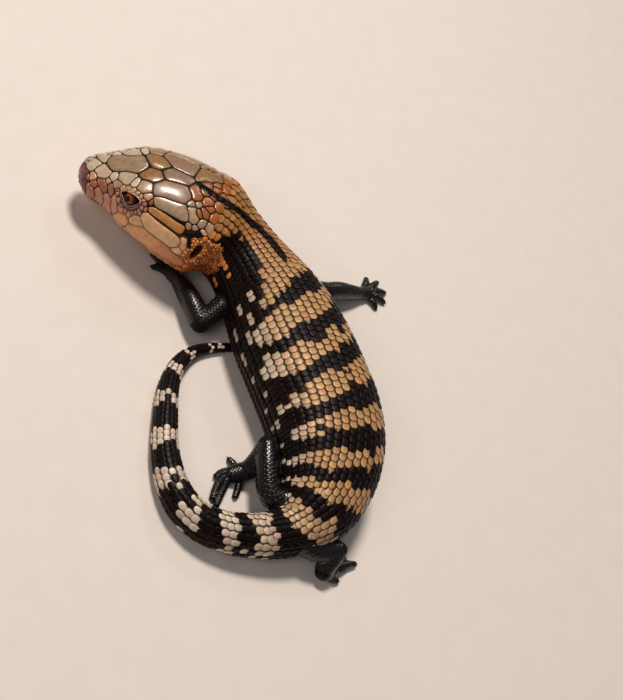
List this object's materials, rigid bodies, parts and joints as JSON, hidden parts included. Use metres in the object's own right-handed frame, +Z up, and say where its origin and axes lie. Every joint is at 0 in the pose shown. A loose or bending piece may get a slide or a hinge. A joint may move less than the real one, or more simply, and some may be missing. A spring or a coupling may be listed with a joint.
{
  "type": "blue-tongued skink",
  "caption": "Young blue-tongued skink lying on its belly, banded in tan and black, with short dark legs and its tail looped round to one side.",
  "frame": {"origin": "centre of the bounding box at floor level, under the left flank", "axes": "+Z up; the head points to -X and a little to +Y, the trunk runs back along -Y, and the tail loops round on the -X side"},
  "size_m": [0.0724, 0.0836, 0.0188],
  "materials": {
    "head_skin": "smooth glossy head shields, olive tan to golden, with dark seams",
    "trunk_skin": "small overlapping glossy scales in tan and black bands",
    "tail_skin": "ringed glossy scales, black with short pale bands",
    "limb_skin": "fine glossy black scales",
    "eye": "wet gloss, orange brown iris with a dark pupil"
  },
  "bodies": {
    "root": {"head": "head_skin", "eye_left": "eye", "eye_right": "eye", "neck": "trunk_skin", "trunk_front": "trunk_skin", "trunk_middle": "trunk_skin", "trunk_rear": "trunk_skin", "pelvis": "trunk_skin", "tail_root": "tail_skin", "tail_bend": "tail_skin", "tail_side": "tail_skin", "tail_fore": "tail_skin", "tail_turn": "tail_skin", "tail_tip": "tail_skin", "fore_left_upper": "limb_skin", "fore_left_lower": "limb_skin", "fore_left_foot": "limb_skin", "fore_right_upper": "limb_skin", "fore_right_lower": "limb_skin", "fore_right_foot": "limb_skin", "hind_left_upper": "limb_skin", "hind_left_lower": "limb_skin", "hind_left_foot": "limb_skin", "hind_right_upper": "limb_skin", "hind_right_lower": "limb_skin", "hind_right_foot": "limb_skin"}
  },
  "joints": []
}
